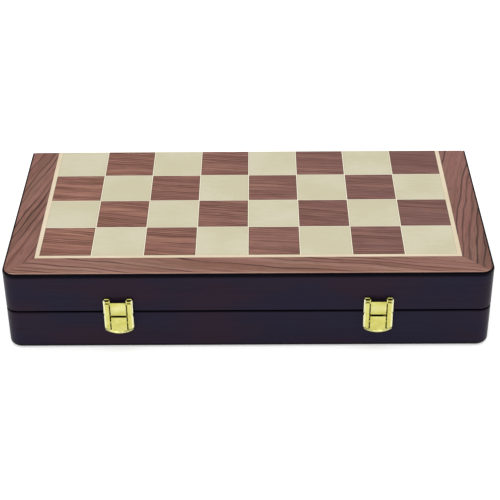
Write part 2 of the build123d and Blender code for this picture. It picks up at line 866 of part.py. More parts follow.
def bishop():
    """Mitre-headed bishop with a slanting slot and a small ball on top."""
    ball_z = bishop_height - finial_radius
    tip = (0.65 * finial_radius, ball_z - sqrt(1 - 0.65**2) * finial_radius)
    slope = radians(bishop_mitre_angle)
    shoulder_x = bishop_head_radius * cos(slope)
    shoulder_z = tip[1] - (shoulder_x - tip[0]) / tan(slope)
    centre_z = shoulder_z - bishop_head_radius * sin(slope)
    head_z = centre_z - sqrt(bishop_head_radius**2 - bishop_neck_radius**2)
    collar_z = head_z - collar_thickness
    with BuildPart() as man:
        with BuildSketch(Plane.XZ):
            with BuildLine():
                foot_and_stem(bishop_base_radius, bishop_neck_radius, bishop_collar_radius, collar_z)
                ThreePointArc(
                    (bishop_neck_radius, head_z), (bishop_head_radius, centre_z), (shoulder_x, shoulder_z)
                )
                Line((shoulder_x, shoulder_z), tip)
                ThreePointArc(tip, (finial_radius, ball_z), (0, bishop_height))
                Line((0, bishop_height), (0, 0))
            make_face()
        revolve(axis=Axis.Z)
        with Locations(Location((-shoulder_x, 0, shoulder_z), (0, bishop_slot_tilt, 0))):
            Box(shoulder_x, 3 * bishop_head_radius, bishop_slot_width, mode=Mode.SUBTRACT)
    return man


def crown_profile(neck_radius, crown_radius, crown_bottom, crown_top, dome_top):
    """Profile of the flared crown of king and queen, closed by a low spherical dome up to dome_top."""
    dome_edge = crown_radius - finial_radius
    dome_rise = dome_top - crown_top
    sphere_radius = (dome_edge**2 + dome_rise**2) / (2 * dome_rise)
    dome_middle_z = dome_top - sphere_radius + sqrt(sphere_radius**2 - dome_edge**2 / 4)
    Polyline((neck_radius, crown_bottom), (crown_radius, crown_top), (dome_edge, crown_top))
    ThreePointArc((dome_edge, crown_top), (dome_edge / 2, dome_middle_z), (0, dome_top))


def queen():
    """Queen with a notched coronet and a small ball on its dome."""
    dome_top = queen_height - 2 * finial_radius + finial_radius / 2
    crown_top = dome_top - finial_radius
    crown_bottom = crown_top - queen_crown_height
    collar_z = crown_bottom - collar_thickness
    with BuildPart() as man:
        with BuildSketch(Plane.XZ):
            with BuildLine():
                foot_and_stem(queen_base_radius, queen_neck_radius, queen_collar_radius, collar_z)
                crown_profile(queen_neck_radius, queen_crown_radius, crown_bottom, crown_top, dome_top)
                Line((0, dome_top), (0, 0))
            make_face()
        revolve(axis=Axis.Z)
        with BuildSketch(Plane.XY.offset(crown_top)):
            with PolarLocations(queen_crown_radius, crown_notches):
                Circle(crown_notch_radius)
        extrude(amount=-2 * crown_notch_radius, mode=Mode.SUBTRACT)
        with Locations((0, 0, queen_height - finial_radius)):
            Sphere(finial_radius)
    return man


def king():
    """King with a plain flared crown and a cross on its dome."""
    dome_top = king_height - cross_height
    crown_top = dome_top - finial_radius
    crown_bottom = crown_top - king_crown_height
    collar_z = crown_bottom - collar_thickness
    with BuildPart() as man:
        with BuildSketch(Plane.XZ):
            with BuildLine():
                foot_and_stem(king_base_radius, king_neck_radius, king_collar_radius, collar_z)
                crown_profile(king_neck_radius, king_crown_radius, crown_bottom, crown_top, dome_top)
                Line((0, dome_top), (0, 0))
            make_face()
        revolve(axis=Axis.Z)
        with BuildSketch(Plane.XZ):
            with Locations((0, king_height - (cross_height + finial_radius) / 2)):
                Rectangle(cross_bar, cross_height + finial_radius)
            with Locations((0, king_height - cross_height / 2 + cross_bar / 4)):
                Rectangle(cross_width, cross_bar)
        extrude(amount=cross_bar / 2, both=True)
    return man


def file_x(column):
    """Middle of one of the eight columns in which the men lie."""
    return (column - (files - 1) / 2) * man_pitch


# The men of one side: form, columns, row, length, foot radius, and half the width and the thickness
# above the foot
officer_row, pawn_row = 1, -1
knight_side = knight_base_radius
king_top = max(king_collar_radius, king_crown_radius)
queen_top = max(queen_collar_radius, queen_crown_radius)
bishop_top = max(bishop_collar_radius, bishop_head_radius)
pawn_top = max(pawn_collar_radius, pawn_head_radius)
men = {
    "king": (king(), [4], officer_row, king_height, king_base_radius, king_top, king_top),
    "queen": (queen(), [3], officer_row, queen_height, queen_base_radius, queen_top, queen_top),
    "bishops": (bishop(), [2, 5], officer_row, bishop_height, bishop_base_radius, bishop_top, bishop_top),
    "knights": (knight(), [1, 6], officer_row, knight_height, knight_base_radius, knight_side, knight_cheek),
    "rooks": (rook(), [0, 7], officer_row, rook_height, rook_base_radius, rook_head_radius, rook_head_radius),
    "pawns": (pawn(), range(files), pawn_row, pawn_height, pawn_base_radius, pawn_top, pawn_top),
}
foot_length = foot_thickness + foot_step
deep_floor_z = panel_z + insert_floor
foot_y = case_depth / 2 - wall_thickness - wall_to_foot


def axis_height(base_radius):
    """Height of a lying man's axis: its foot rests just clear of the pocket's deep floor."""
    return deep_floor_z + man_clearance + base_radius


def lying(form, columns, row, base_radius):
    """The men of one kind on their sides, feet to the wall of their row and heads to the middle."""
    with BuildPart() as group:
        for column in columns:
            place = Location((file_x(column), row * foot_y, axis_height(base_radius)), (row * 90, 0, 0))
            add(form.part.moved(place))
    return group


def insert():
    """Firm foam block with one cut-out per man: deep at the foot, shallower under stem and head."""
    width = case_width - 2 * (wall_thickness + insert_play)
    depth = case_depth - 2 * (wall_thickness + insert_play)
    top_z = rim_z - insert_recess
    with BuildPart() as block:
        with BuildSketch(Plane.XY.offset(panel_z)):
            Rectangle(width, depth)
        extrude(amount=top_z - panel_z)
        for form, columns, row, length, base_radius, half_width, thickness in men.values():
            foot_half = base_radius + man_clearance
            stem_half = half_width + man_clearance
            foot_edge = row * (foot_y + man_clearance)
            foot_shoulder = row * (foot_y - foot_length)
            flare_edge = row * (foot_y - foot_length - flare_height)
            head_edge = row * (foot_y - length - man_clearance)
            with BuildSketch(Plane.XY.offset(top_z)) as foot_cuts:
                for column in columns:
                    x = file_x(column)
                    with BuildLine():
                        Polyline(
                            (x - foot_half, foot_edge),
                            (x + foot_half, foot_edge),
                            (x + foot_half, foot_shoulder),
                            (x + stem_half, flare_edge),
                            (x - stem_half, flare_edge),
                            (x - foot_half, foot_shoulder),
                            close=True,
                        )
                    make_face()
            extrude(foot_cuts.sketch, amount=deep_floor_z - top_z, mode=Mode.SUBTRACT)
            stem_floor_z = axis_height(base_radius) - thickness - man_clearance
            with BuildSketch(Plane.XY.offset(top_z)) as stem_cuts:
                with Locations(*[(file_x(column), (flare_edge + head_edge) / 2) for column in columns]):
                    Rectangle(2 * stem_half, abs(flare_edge - head_edge))
            extrude(stem_cuts.sketch, amount=stem_floor_z - top_z, mode=Mode.SUBTRACT)
    return block


def lid_side(piece):
    """The same contents half a turn about the middle of the case, so that the lid's men lie head to head."""
    with BuildPart() as turned:
        add(piece.part.rotate(Axis((0, 0, half_height), (1, 0, 0)), 180))
    return turned


foam = insert()
save(foam, "base_insert")
save(lid_side(foam), "lid_insert")
for name, (form, columns, row, length, base_radius, half_width, thickness) in men.items():
    group = lying(form, columns, row, base_radius)
    save(group, "white_" + name)
    save(lid_side(group), "black_" + name)
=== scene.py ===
"""Looks of a folding wooden chess case with brass snap latches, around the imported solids.

Metres in the part's own frame: X along the case, +Y to the hinge edge, +Z up, origin under the case's middle.
Sizes that repeat those of the solids are in millimetres, and so are all material patterns.
"""

from itertools import product
from math import atan, cos, pi, radians, sin, sqrt, tan

import bmesh
import bpy
import numpy as np
from mathutils import Matrix, Vector


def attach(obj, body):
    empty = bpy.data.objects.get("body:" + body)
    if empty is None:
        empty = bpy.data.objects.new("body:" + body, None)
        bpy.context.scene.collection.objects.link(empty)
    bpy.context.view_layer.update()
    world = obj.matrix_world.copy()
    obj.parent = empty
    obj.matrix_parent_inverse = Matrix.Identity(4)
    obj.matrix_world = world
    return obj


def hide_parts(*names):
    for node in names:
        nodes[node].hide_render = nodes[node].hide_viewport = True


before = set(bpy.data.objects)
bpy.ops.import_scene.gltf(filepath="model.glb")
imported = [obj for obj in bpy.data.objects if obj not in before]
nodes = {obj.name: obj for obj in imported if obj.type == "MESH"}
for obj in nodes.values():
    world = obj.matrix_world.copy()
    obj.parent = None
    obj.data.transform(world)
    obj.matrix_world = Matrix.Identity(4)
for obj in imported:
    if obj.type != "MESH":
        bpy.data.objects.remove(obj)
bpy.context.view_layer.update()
scene = bpy.context.scene
MM = 0.001

# Camera, solved from the grid of squares in the photograph
CAMERA_PLACE = (0.00649, -0.75782, 0.52617)
CAMERA_HEADING = radians(0.4305)
CAMERA_TILT = radians(56.402)
CAMERA_ROLL = radians(-0.5366)
SENSOR_WIDTH = 36.0
FOCAL_PIXELS = 1373.75
PICTURE_WIDTH = 500

camera = bpy.data.objects.new("camera", bpy.data.cameras.new("camera"))
scene.collection.objects.link(camera)
camera.data.sensor_width = SENSOR_WIDTH
camera.data.lens = FOCAL_PIXELS * SENSOR_WIDTH / PICTURE_WIDTH
camera.data.clip_start = 0.02
camera.data.clip_end = 50
camera.matrix_world = (
    Matrix.Translation(CAMERA_PLACE)
    @ Matrix.Rotation(CAMERA_HEADING, 4, "Z")
    @ Matrix.Rotation(CAMERA_TILT, 4, "X")
    @ Matrix.Rotation(CAMERA_ROLL, 4, "Z")
)
scene.camera = camera
scene.view_settings.view_transform = "Standard"

# Case, in millimetres
HALF_HEIGHT = 27.5
TOP = 2 * HALF_HEIGHT
PARTING_GAP = 0.3
FRONT_Y = -75.0
SQUARE_PITCH = 32.3
SQUARE_LINE = 0.4
BOARD_CORNER = (-129.2, -54.2)

# Latches: heights from the parting plane, depths from the front face
LATCH_X = 79.65
NAIL_X = 6.7
LID_NAIL_HEIGHT = 3.6
BASE_NAIL_HEIGHT = -3.9
LATCH_SHEET = 0.6
NAIL_HEAD_RADIUS = 1.1
NAIL_HEAD_THICKNESS = 0.5
NAIL_SHANK_RADIUS = 0.55
NAIL_LENGTH = 7.1
NAIL_POINT_LENGTH = 0.9

# Hinge screws
HINGE_X = 85.0
SCREW_SPACING = 21.0
SCREW_Y = 70.6
SCREW_HEAD_RADIUS = 1.9
SCREW_SHANK_RADIUS = 0.9
SCREW_LENGTH = 9.0
THREAD_PITCH = 0.7
THREAD_DEPTH = 0.25
THREAD_START = 0.9
THREAD_END = -2.0
POINT_RADIUS = 0.45
POINT_LENGTH = 0.8
RECESS_SPAN = 2.1
RECESS_WIDTH = 0.45
RECESS_TURN = 0.03
RECESS_DEPTHS = (0.65, 0.62)

# Men in their cut-outs
FILE_PITCH = 34.0
FOOT_Y = 60.5
DEEP_FLOOR = 5.8
FOOT_RADII = {"king": 11.5, "queen": 11.0, "bishops": 10.5, "knights": 10.5, "rooks": 10.5, "pawns": 9.5}
FOOT_HEIGHT = 3.5
FELT = 0.7
NOTCHES = 8

# Meshes: segments of turned forms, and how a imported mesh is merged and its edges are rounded, in millimetres
TURN_SEGMENTS = 48
FINE_TURN_SEGMENTS = 32
ARC_STEP = radians(12)
MERGE_DISTANCE = 0.002
FLAT_ANGLE = radians(1)
SHARP_ANGLE = radians(32)
BEVEL_ANGLE = radians(35)
EDGE_ROUNDS = {"leaf": 0.15, "plate": 0.1, "flap": 0.16}
FOAM_EDGE_ROUND = 0.7
FOAM_EDGE_ANGLE = radians(30)

# Attribute that numbers what is joined into one mesh
MAN_NUMBER = "man_number"


def srgb(red, green, blue):
    """Linear colour of an sRGB triple from 0 to 255."""
    linear = []
    for value in (red, green, blue):
        share = value / 255
        linear.append(share / 12.92 if share <= 0.04045 else ((share + 0.055) / 1.055) ** 2.4)
    return (*linear, 1.0)


# Colours, and the distances in millimetres over which some of them fade
LACQUER_PLUM = srgb(40, 29, 39)
LACQUER_BLUE = srgb(32, 29, 44)
# The deepest lacquer colour serves the grain and also painted shade; the two distances below are where that
# painted shade fades out
LACQUER_GRAIN_AND_SHADE = srgb(2, 1, 3)
PAINTED_SHADE_AT_OUTER_EDGE = (1.6, 3.6)
PAINTED_SHADE_AT_RIM = (0.3, 1.4)
BRASS_PALE = srgb(197, 193, 115)
BRASS_DEEP = srgb(187, 182, 96)
BRASS_WORN = srgb(216, 213, 166)
# Brass darkened as painted shade in the recesses at the wall
BRASS_PAINTED_SHADE = srgb(108, 96, 34)
# Brass lightened as a painted highlight on the flaps' outer edges and the thumb lip
BRASS_PAINTED_HIGHLIGHT = srgb(240, 238, 206)
HIGHLIGHT_FROM_MIDDLE = (7.4, 8.6)
HIGHLIGHT_DEPTH = (3.3, 3.8)
VENEER_RED = srgb(138, 84, 78)
VENEER_DEEP = srgb(98, 66, 68)
# Veneer lightened as a painted highlight along the case's front edge
VENEER_PAINTED_HIGHLIGHT = srgb(186, 144, 124)
HIGHLIGHT_FROM_FRONT = (1.9, 2.9)
JOINT_STAIN = srgb(96, 76, 52)
HAIRLINE = srgb(255, 244, 222)
DEEPENING_SPAN = (-120.0, 130.0)

# Sheets from which the squares are cut, and the grain's shift from man to man, in millimetres
DARK_SHEET = (700, 900, 40)
LIGHT_SHEET = (500, 300, 20)
GRAIN_SHIFT = (61.0, 37.0, 83.0)


class Shader:
    """One node material under construction; place is the part's own frame in millimetres."""

    def __init__(self, name):
        self.material = bpy.data.materials.new(name)
        self.material.use_nodes = True
        self.tree = self.material.node_tree
        self.surface = self.tree.nodes["Principled BSDF"]
        scaled = self.node("ShaderNodeVectorMath", operation="SCALE")
        self.feed(scaled.inputs[0], self.node("ShaderNodeTexCoord").outputs["Object"])
        scaled.inputs["Scale"].default_value = 1 / MM
        self.place = scaled.outputs[0]

    def node(self, kind, **settings):
        made = self.tree.nodes.new(kind)
        for key, value in settings.items():
            setattr(made, key, value)
        return made

    def feed(self, socket, value):
        if isinstance(value, bpy.types.NodeSocket):
            self.tree.links.new(value, socket)
        else:
            socket.default_value = value

    def fed(self, made, values):
        """First output of a node whose inputs are fed in their order."""
        for socket, value in zip(made.inputs, values):
            self.feed(socket, value)
        return made.outputs[0]

    def math(self, operation, *values):
        return self.fed(self.node("ShaderNodeMath", operation=operation), values)

    def vector(self, operation, *values):
        return self.fed(self.node("ShaderNodeVectorMath", operation=operation), values)

    def combine(self, *values):
        return self.fed(self.node("ShaderNodeCombineXYZ"), values)

    def turned(self, place, heading, shift):
        """Coordinates turned about Z so that X runs along that heading, then shifted."""
        mapping = self.node("ShaderNodeMapping")
        self.feed(mapping.inputs["Vector"], place)
        mapping.inputs["Rotation"].default_value = (0, 0, -heading)
        return self.vector("ADD", mapping.outputs[0], shift)

    def noise(self, place, scales, detail=2.0, roughness=0.5):
        """Noise with its own frequency per axis, in cycles per millimetre."""
        made = self.node("ShaderNodeTexNoise")
        self.feed(made.inputs["Vector"], self.vector("MULTIPLY", place, scales))
        made.inputs["Scale"].default_value = 1.0
        made.inputs["Detail"].default_value = detail
        made.inputs["Roughness"].default_value = roughness
        return made.outputs["Fac"]

    def random(self, vector):
        """White noise of a vector: one value and one colour."""
        made = self.node("ShaderNodeTexWhiteNoise", noise_dimensions="3D")
        self.feed(made.inputs["Vector"], vector)
        return made.outputs["Value"], made.outputs["Color"]

    def step(self, value, low, high, start=0.0, end=1.0):
        """Smooth step of value between low and high."""
        made = self.node("ShaderNodeMapRange", interpolation_type="SMOOTHSTEP")
        return self.fed(made, (value, low, high, start, end))

    def mix(self, share, first, second):
        made = self.node("ShaderNodeMix", data_type="RGBA", clamp_factor=True)
        self.feed(made.inputs[0], share)
        self.feed(made.inputs[6], first)
        self.feed(made.inputs[7], second)
        return made.outputs[2]

    def split(self, place):
        made = self.node("ShaderNodeSeparateXYZ")
        self.feed(made.inputs[0], place)
        return made.outputs

    def blended(self, *weighted):
        """Sum of (value, weight) pairs."""
        total = 0.0
        for value, weight in weighted:
            total = self.math("MULTIPLY_ADD", value, weight, total)
        return total

    def bump(self, height, depth, strength):
        """Relief of that depth in millimetres."""
        made = self.node("ShaderNodeBump")
        made.inputs["Strength"].default_value = strength
        made.inputs["Distance"].default_value = depth * MM
        self.feed(made.inputs["Height"], height)
        self.feed(self.surface.inputs["Normal"], made.outputs[0])

    def finish(self, colour, roughness, metallic=0.0, specular=0.5, coat=0.0, coat_roughness=0.1):
        self.feed(self.surface.inputs["Base Color"], colour)
        self.feed(self.surface.inputs["Roughness"], roughness)
        self.surface.inputs["Metallic"].default_value = metallic
        self.surface.inputs["Specular IOR Level"].default_value = specular
        self.surface.inputs["Coat Weight"].default_value = coat
        self.surface.inputs["Coat Roughness"].default_value = coat_roughness
        return self.material


def board_cells(look, seed, sheet):
    """Of each square of the board: a random value, its place on a sheet of that size, and how far its
    nearest edge is.
    """
    from_corner = look.vector("SUBTRACT", look.place, (*BOARD_CORNER, 0))
    grid = look.vector("MULTIPLY", from_corner, (1 / SQUARE_PITCH, 1 / SQUARE_PITCH, 0))
    value, colour = look.random(look.vector("ADD", look.vector("FLOOR", grid), (seed, 3.5, 1.5)))
    place = look.vector("ADD", look.place, look.vector("MULTIPLY", colour, sheet))
    across = look.split(look.vector("FRACTION", grid))
    sides = [look.math("PINGPONG", across[axis], 0.5) for axis in (0, 1)]
    nearest = look.math("MULTIPLY", look.math("MINIMUM", *sides), SQUARE_PITCH)
    return value, place, nearest


def figure_lines(look, along, across, spacing, wave, seed, line_start, slow):
    """Strength of the dark figure lines, and a random value of the band that each line ends.

    The lines are the late wood of rings that lie at that spacing across the grain and swell by that many
    rings. A line starts at that share of its ring, and slow is the cycles per millimetre of the swell.
    """
    swell = look.noise(along, (slow, 3.5 * slow, 0.02), detail=0.0)
    ripple = look.noise(along, (5 * slow, 16 * slow, 0.05), detail=1.0)
    phase = look.blended((across, 1 / spacing), (swell, wave), (ripple, 0.3 * wave))
    ring = look.math("FRACT", phase)
    ring_value, ring_colour = look.random(look.combine(look.math("FLOOR", phase), seed))
    rise = look.step(ring, line_start, line_start + 0.22)
    fall = look.step(ring, 0.93, 1.0, 1.0, 0.0)
    patch = look.step(look.noise(along, (2 * slow, 0.1, 0.1), detail=1.0), 0.3, 0.55, 0.35, 1.0)
    dark = look.math("MULTIPLY", look.math("MULTIPLY", rise, fall), patch)
    dark = look.math("MULTIPLY", dark, look.step(ring_value, 0.1, 0.7, 0.12, 1.0))
    return dark, look.split(ring_colour)[1]


def figured_veneer(
    name,
    colours,
    heading,
    spacing,
    wave,
    seed,
    line_start=0.62,
    slow=0.007,
    streak=0.22,
    by_square=False,
):
    """Sliced wood: long figure lines of uneven strength, fine fibres between them, and short pores.

    The colours are of the pale and the middle wood and of the lines. By square, each square of the board is
    cut from another part of the sheet, at a slightly other slope, and the sheet deepens to the right.
    """
    pale, middle, line = colours
    look = Shader(name)
    x, y, _ = look.split(look.place)
    place = look.place
    if by_square:
        tone, place, nearest = board_cells(look, seed, DARK_SHEET)
    along = look.turned(place, heading, (seed * 13.7, seed * 7.3, seed))
    across = look.split(along)[1]
    if by_square:
        slope = look.math("MULTIPLY", look.math("SUBTRACT", tone, 0.5), 0.14)
        across = look.math("ADD", across, look.math("MULTIPLY", x, slope))
    dark, band = figure_lines(look, along, across, spacing, wave, seed, line_start, slow)
    fibre = look.noise(along, (0.03, 1.9, 1.0), detail=4.0, roughness=0.65)
    broad = look.noise(along, (0.07 * streak, streak, 0.1), detail=3.0, roughness=0.6)
    figure = look.blended((fibre, 0.35), (broad, 0.5), (band, 0.15))
    colour = look.mix(look.step(figure, 0.36, 0.64), pale, middle)
    patch_of_red = look.noise(along, (0.02, 0.09, 0.05), detail=2.0)
    colour = look.mix(look.step(patch_of_red, 0.4, 0.62, 0.0, 0.35), colour, VENEER_RED)
    if by_square:
        colour = look.mix(look.step(tone, 0.0, 1.0, 0.0, 0.25), colour, middle)
        colour = look.mix(look.step(x, *DEEPENING_SPAN, 0.0, 0.62), colour, VENEER_DEEP)
    colour = look.mix(dark, colour, line)
    pits = look.step(look.noise(along, (0.22, 4.2, 2.0), detail=1.0), 0.65, 0.74)
    colour = look.mix(look.math("MULTIPLY", pits, 0.4), colour, line)
    dashes = look.step(look.noise(along, (0.09, 1.1, 0.5), detail=2.0), 0.56, 0.68)
    colour = look.mix(look.math("MULTIPLY", dashes, 0.4), colour, line)
    if by_square:
        colour = look.mix(look.step(nearest, SQUARE_LINE, 3 * SQUARE_LINE, 0.6, 0.0), colour, JOINT_STAIN)
    # Painted highlight: the veneer is lightened along the front edge of the case
    from_front = look.math("SUBTRACT", y, FRONT_Y)
    colour = look.mix(look.step(from_front, *HIGHLIGHT_FROM_FRONT, 0.5, 0.0), colour, VENEER_PAINTED_HIGHLIGHT)
    look.bump(look.blended((fibre, 0.3), (pits, -1.0), (dark, -0.5)), 0.02, 0.5)
    roughness = look.blended((fibre, 0.12), (1.0, 0.38))
    return look.finish(colour, roughness, specular=0.3, coat=0.15, coat_roughness=0.3)


def plain_veneer(name, colours, seed, scales, by_square=False):
    """Pale close-grained veneer, nearly plain: faint flecks and a slow change of tone.

    The colours are of the wood, its shade and the joints. Not by square, it is the inlay, whose hairlines
    between the squares are paler than the line round them.
    """
    pale, shade, joint = colours
    look = Shader(name)
    place = look.place
    if by_square:
        tone, place, nearest = board_cells(look, seed, LIGHT_SHEET)
    fibre = look.noise(place, scales, detail=3.0, roughness=0.6)
    cloud = look.noise(place, (0.03, 0.03, 0.1), detail=1.0)
    fleck = look.noise(place, (1.6, 0.35, 1.0), detail=1.0)
    colour = look.mix(look.step(look.blended((fibre, 0.35), (cloud, 0.65)), 0.36, 0.64), pale, shade)
    colour = look.mix(look.step(fleck, 0.62, 0.78, 0.0, 0.25), colour, shade)
    if by_square:
        colour = look.mix(look.math("MULTIPLY", tone, 0.3), colour, shade)
        colour = look.mix(look.step(nearest, SQUARE_LINE / 2, 2 * SQUARE_LINE, 0.45, 0.0), colour, joint)
    else:
        x, y, _ = look.split(look.place)
        corner_x, corner_y = BOARD_CORNER
        within = look.step(look.math("ABSOLUTE", x), -corner_x - SQUARE_LINE, -corner_x, 1.0, 0.0)
        within = look.math("MULTIPLY", within, look.step(y, corner_y, corner_y + SQUARE_LINE))
        colour = look.mix(within, colour, joint)
    look.bump(look.blended((fibre, 1.0), (fleck, 0.5)), 0.012, 0.4)
    roughness = look.blended((fleck, 0.1), (1.0, 0.4))
    return look.finish(colour, roughness, specular=0.3, coat=0.12, coat_roughness=0.3)


def lacquer(name, outer_z):
    """Dark plum lacquer over wood: faint grain under it, soft unevenness, and painted shade on the outer edge
    and the rim.
    """
    look = Shader(name)
    z = look.split(look.place)[2]
    grain = look.noise(look.place, (0.02, 0.02, 0.9), detail=4.0, roughness=0.6)
    cloud = look.noise(look.place, (0.014, 0.014, 0.03), detail=2.0)
    colour = look.mix(look.step(cloud, 0.34, 0.66), LACQUER_PLUM, LACQUER_BLUE)
    colour = look.mix(look.step(grain, 0.42, 0.7, 0.0, 0.14), colour, LACQUER_GRAIN_AND_SHADE)
    from_outer = look.math("ABSOLUTE", look.math("SUBTRACT", z, outer_z))
    from_rim = look.math("ABSOLUTE", look.math("SUBTRACT", z, HALF_HEIGHT))
    # Painted shade: the lacquer goes near black along the outer edge (top of the lid, bottom of the base) and
    # along the rim by the parting gap
    colour = look.mix(look.step(from_outer, *PAINTED_SHADE_AT_OUTER_EDGE, 1.0, 0.0), colour, LACQUER_GRAIN_AND_SHADE)
    colour = look.mix(look.step(from_rim, *PAINTED_SHADE_AT_RIM, 1.0, 0.0), colour, LACQUER_GRAIN_AND_SHADE)
    peel = look.noise(look.place, (0.5, 0.5, 0.5))
    fine = look.noise(look.place, (4.0, 4.0, 4.0))
    look.bump(look.blended((peel, 1.0), (grain, 0.4)), 0.02, 0.25)
    look.surface.inputs["Specular Tint"].default_value = (0.72, 0.66, 1.0, 1.0)
    return look.finish(colour, look.blended((fine, 0.1), (cloud, 0.1), (1.0, 0.26)), specular=0.06)


def brass(name):
    """Yellow plated brass: soft brushing along X, a few scratches, painted shade in the corners at the wall,
    and a painted highlight on the outer edges and the thumb lip of the latches.
    """
    look = Shader(name)
    x, y, _ = look.split(look.place)
    depth = look.math("ABSOLUTE", look.math("SUBTRACT", y, FRONT_Y))
    from_middle = look.math("ABSOLUTE", look.math("SUBTRACT", look.math("ABSOLUTE", x), LATCH_X))
    # Painted highlight: the flaps' outer edges and the thumb lip are lightened, fading out away from the front
    on_side = look.step(from_middle, *HIGHLIGHT_FROM_MIDDLE)
    painted_highlight = look.math("MAXIMUM", on_side, look.step(depth, *HIGHLIGHT_DEPTH))
    painted_highlight = look.math("MULTIPLY", painted_highlight, look.step(depth, 4 * LATCH_SHEET, 8 * LATCH_SHEET, 1.0, 0.0))
    cloud = look.noise(look.place, (0.22, 0.22, 0.22))
    brushed = look.noise(look.place, (0.5, 6.0, 6.0), detail=3.0, roughness=0.6)
    scratch = look.noise(look.place, (0.9, 7.0, 7.0), detail=1.0)
    colour = look.mix(look.step(cloud, 0.35, 0.65), BRASS_PALE, BRASS_DEEP)
    colour = look.mix(look.step(scratch, 0.68, 0.76, 0.0, 0.2), colour, BRASS_WORN)
    colour = look.mix(look.math("MULTIPLY", painted_highlight, 0.8), colour, BRASS_PAINTED_HIGHLIGHT)
    # Painted shade: brass close to the wall, seen through the slots and in the ears, is darkened
    colour = look.mix(look.step(depth, LATCH_SHEET + 0.05, 2 * LATCH_SHEET, 0.85, 0.0), colour, BRASS_PAINTED_SHADE)
    look.bump(look.blended((brushed, 1.0), (scratch, 0.6)), 0.005, 0.3)
    return look.finish(colour, look.blended((cloud, 0.1), (brushed, 0.1), (1.0, 0.2)), metallic=1.0)


def turned_wood(name, pale, shade, pore):
    """Lacquered turned wood with the grain along Y, other for each man, whose number is in an attribute."""
    look = Shader(name)
    number = look.node("ShaderNodeAttribute", attribute_name=MAN_NUMBER).outputs["Fac"]
    shift = look.combine(*(look.math("MULTIPLY", number, far) for far in GRAIN_SHIFT))
    place = look.vector("ADD", look.place, shift)
    swell = look.noise(place, (0.12, 0.02, 0.12))
    ring = look.math("FRACT", look.math("MULTIPLY", swell, 9.0))
    fibre = look.noise(place, (1.6, 0.06, 1.6), detail=4.0, roughness=0.6)
    colour = look.mix(look.step(fibre, 0.35, 0.68), pale, shade)
    colour = look.mix(look.math("MULTIPLY", look.step(ring, 0.55, 0.95), 0.45), colour, shade)
    pits = look.step(look.noise(place, (5.0, 0.4, 5.0), detail=1.0), 0.66, 0.75)
    colour = look.mix(look.math("MULTIPLY", pits, 0.5), colour, pore)
    look.bump(look.blended((fibre, 1.0), (pits, -1.0)), 0.012, 0.35)
    roughness = look.blended((fibre, 0.12), (1.0, 0.26))
    return look.finish(colour, roughness, specular=0.4, coat=0.35, coat_roughness=0.16)


def flock(name, deep, tip):
    """Short dense pile: speckled colour, fine bump, and a sheen at grazing angles."""
    look = Shader(name)
    pile = look.noise(look.place, (5.5, 5.5, 5.5), detail=3.0, roughness=0.7)
    nap = look.noise(look.place, (0.12, 0.12, 0.12), detail=3.0)
    colour = look.mix(look.step(pile, 0.36, 0.66), deep, tip)
    colour = look.mix(look.step(nap, 0.4, 0.62, 0.0, 0.3), colour, deep)
    look.bump(look.blended((pile, 1.0), (nap, 0.5)), 0.18, 0.8)
    look.surface.inputs["Sheen Weight"].default_value = 0.35
    look.surface.inputs["Sheen Roughness"].default_value = 0.5
    look.surface.inputs["Sheen Tint"].default_value = tip
    return look.finish(colour, 0.95, specular=0.1)


def layered_wood(name):
    """Plywood core: pale faces and darker plies on its edges."""
    look = Shader(name)
    fibre = look.noise(look.place, (0.05, 1.4, 1.0), detail=4.0, roughness=0.6)
    ply = look.step(look.math("PINGPONG", look.split(look.place)[2], 0.85), 0.3, 0.55)
    colour = look.mix(look.step(fibre, 0.35, 0.68), srgb(196, 164, 120), srgb(160, 124, 84))
    colour = look.mix(look.math("MULTIPLY", ply, 0.35), colour, srgb(120, 86, 56))
    look.bump(fibre, 0.05, 0.5)
    return look.finish(colour, 0.7, specular=0.3)


MATERIALS = {
    "lid_walls": lacquer("lid_lacquer", TOP),
    "base_walls": lacquer("base_lacquer", 0.0),
    "front_border": figured_veneer(
        "front_border_veneer",
        (srgb(152, 113, 98), srgb(122, 81, 63), srgb(68, 28, 14)),
        heading=radians(-9),
        spacing=3.9,
        wave=3.6,
        seed=3.0,
    ),
    "left_border": figured_veneer(
        "left_border_veneer",
        (srgb(140, 99, 84), srgb(110, 70, 54), srgb(56, 20, 12)),
        heading=radians(74),
        spacing=3.9,
        wave=3.4,
        seed=5.0,
    ),
    "right_border": figured_veneer(
        "right_border_veneer",
        (srgb(136, 96, 84), srgb(104, 68, 54), srgb(52, 20, 14)),
        heading=radians(79),
        spacing=4.2,
        wave=3.8,
        seed=9.0,
    ),
    "dark_squares": figured_veneer(
        "dark_square_veneer",
        (srgb(174, 124, 103), srgb(116, 71, 54), srgb(88, 46, 34)),
        heading=radians(-6),
        spacing=2.1,
        wave=3.0,
        seed=2.0,
        line_start=0.45,
        slow=0.014,
        streak=0.55,
        by_square=True,
    ),
    "light_squares": plain_veneer(
        "light_square_veneer",
        (srgb(206, 200, 175), srgb(198, 191, 161), srgb(150, 138, 108)),
        seed=4.0,
        scales=(0.16, 0.4, 0.5),
        by_square=True,
    ),
    "stringing": plain_veneer(
        "stringing_veneer",
        (srgb(225, 208, 182), srgb(214, 198, 168), HAIRLINE),
        seed=6.0,
        scales=(0.4, 0.4, 0.5),
    ),
    "panel": layered_wood("panel_plywood"),
    "brass": brass("brass_plate"),
    "white": turned_wood("boxwood", srgb(232, 200, 146), srgb(205, 164, 104), srgb(150, 108, 60)),
    "black": turned_wood("stained_wood", srgb(84, 46, 32), srgb(50, 26, 20), srgb(20, 10, 8)),
    "foam": flock("green_flock", srgb(18, 40, 28), srgb(44, 84, 60)),
    "felt": flock("felt", srgb(22, 58, 40), srgb(46, 98, 70)),
}


